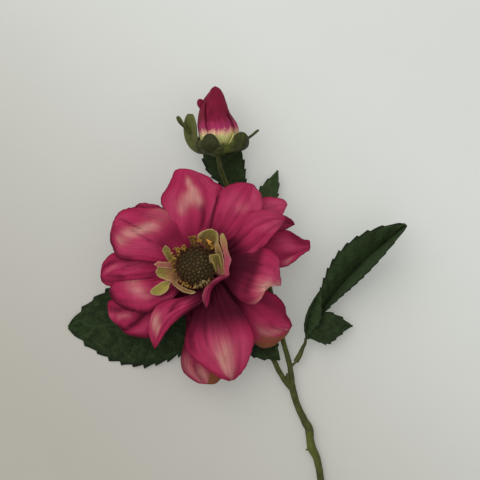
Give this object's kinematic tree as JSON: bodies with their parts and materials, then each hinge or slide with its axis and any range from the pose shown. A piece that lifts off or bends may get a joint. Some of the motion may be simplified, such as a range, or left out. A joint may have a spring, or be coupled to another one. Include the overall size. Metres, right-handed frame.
{
  "type": "artificial dahlia spray",
  "caption": "Fabric dahlia spray lying on its back: open bloom with a seed head, closed bud and toothed leaf sprigs on a forked stem.",
  "frame": {"origin": "on the plane the spray lies on, below the middle of its bounding box", "axes": "+Z faces out of the bloom, +Y runs along the spray from the cut end of the stem towards the bud"},
  "size_m": [0.1684, 0.2696, 0.0435],
  "materials": {
    "petal_cloth": "matte woven petals, magenta with pale rose middles",
    "collar_cloth": "matte, olive green with pink edges",
    "bud_cloth": "matte, crimson over a yellow-green base",
    "leaf_cloth": "matte, dark green with embossed veins",
    "stem_plastic": "matte olive green",
    "stamen_plastic": "matte yellow-brown",
    "disc_plastic": "matte dark olive brown",
    "wire_steel": "drawn wire, bare at the cut end"
  },
  "bodies": {
    "root": {"stem": "stem_plastic", "stem_wire": "wire_steel", "bloom_calyx": "stem_plastic", "bloom_petals": "petal_cloth", "bloom_petaloids": "collar_cloth", "bloom_stamens": "stamen_plastic", "bloom_disc": "disc_plastic", "bud_calyx": "stem_plastic", "bud_petals": "bud_cloth", "leaf_right_blades": "leaf_cloth", "leaf_right_stalk": "stem_plastic", "leaf_left_blades": "leaf_cloth", "leaf_left_stalk": "stem_plastic", "leaf_top_blades": "leaf_cloth", "leaf_top_stalk": "stem_plastic"}
  },
  "joints": []
}
